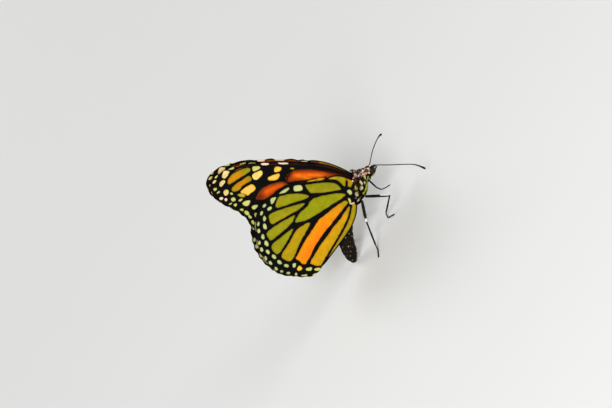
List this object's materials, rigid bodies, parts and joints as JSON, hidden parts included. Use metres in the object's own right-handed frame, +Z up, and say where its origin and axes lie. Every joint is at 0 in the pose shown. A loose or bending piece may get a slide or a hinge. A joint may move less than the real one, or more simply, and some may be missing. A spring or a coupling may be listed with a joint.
{
  "type": "monarch butterfly model",
  "caption": "Life-size still model of a monarch butterfly standing on its legs with its wings closed over its back and its abdomen curled down to the surface.",
  "frame": {"origin": "under the middle of the model's bounding box, on the surface that the feet and the tip of the abdomen stand on", "axes": "+X ahead, +Y to the butterfly's left, +Z up along the closed wings"},
  "size_m": [0.0553, 0.0282, 0.0585],
  "materials": {
    "forewing": "scaled membrane, red-orange cells between black veins, black tip with pale spots",
    "hindwing": "scaled membrane, ochre and orange cells between black veins, black border with two rows of pale spots",
    "body_fur": "short black fur with white spots",
    "abdomen": "short dark brown fur with pale flecks",
    "eye": "glossy faceted compound eye",
    "antenna": "fine ringed black cuticle",
    "leg": "black scaled cuticle with grey-white patches"
  },
  "bodies": {
    "root": {"abdomen_base": "abdomen", "abdomen_middle": "abdomen", "abdomen_rear": "abdomen", "abdomen_tip": "abdomen", "antenna_left": "antenna", "antenna_right": "antenna", "collar": "body_fur", "eye_left": "eye", "eye_right": "eye", "foreleg_left_femur": "leg", "foreleg_left_tarsus": "leg", "foreleg_left_tibia": "leg", "foreleg_right_femur": "leg", "foreleg_right_tarsus": "leg", "foreleg_right_tibia": "leg", "forewing_left": "forewing", "forewing_right": "forewing", "head": "body_fur", "hindleg_left_femur": "leg", "hindleg_left_tarsus": "leg", "hindleg_left_tibia": "leg", "hindleg_right_femur": "leg", "hindleg_right_tarsus": "leg", "hindleg_right_tibia": "leg", "hindwing_left": "hindwing", "hindwing_right": "hindwing", "midleg_left_femur": "leg", "midleg_left_tarsus": "leg", "midleg_left_tibia": "leg", "midleg_right_femur": "leg", "midleg_right_tarsus": "leg", "midleg_right_tibia": "leg", "palp_left": "body_fur", "palp_right": "body_fur", "tegula_left": "body_fur", "tegula_right": "body_fur", "thorax": "body_fur"}
  },
  "joints": []
}
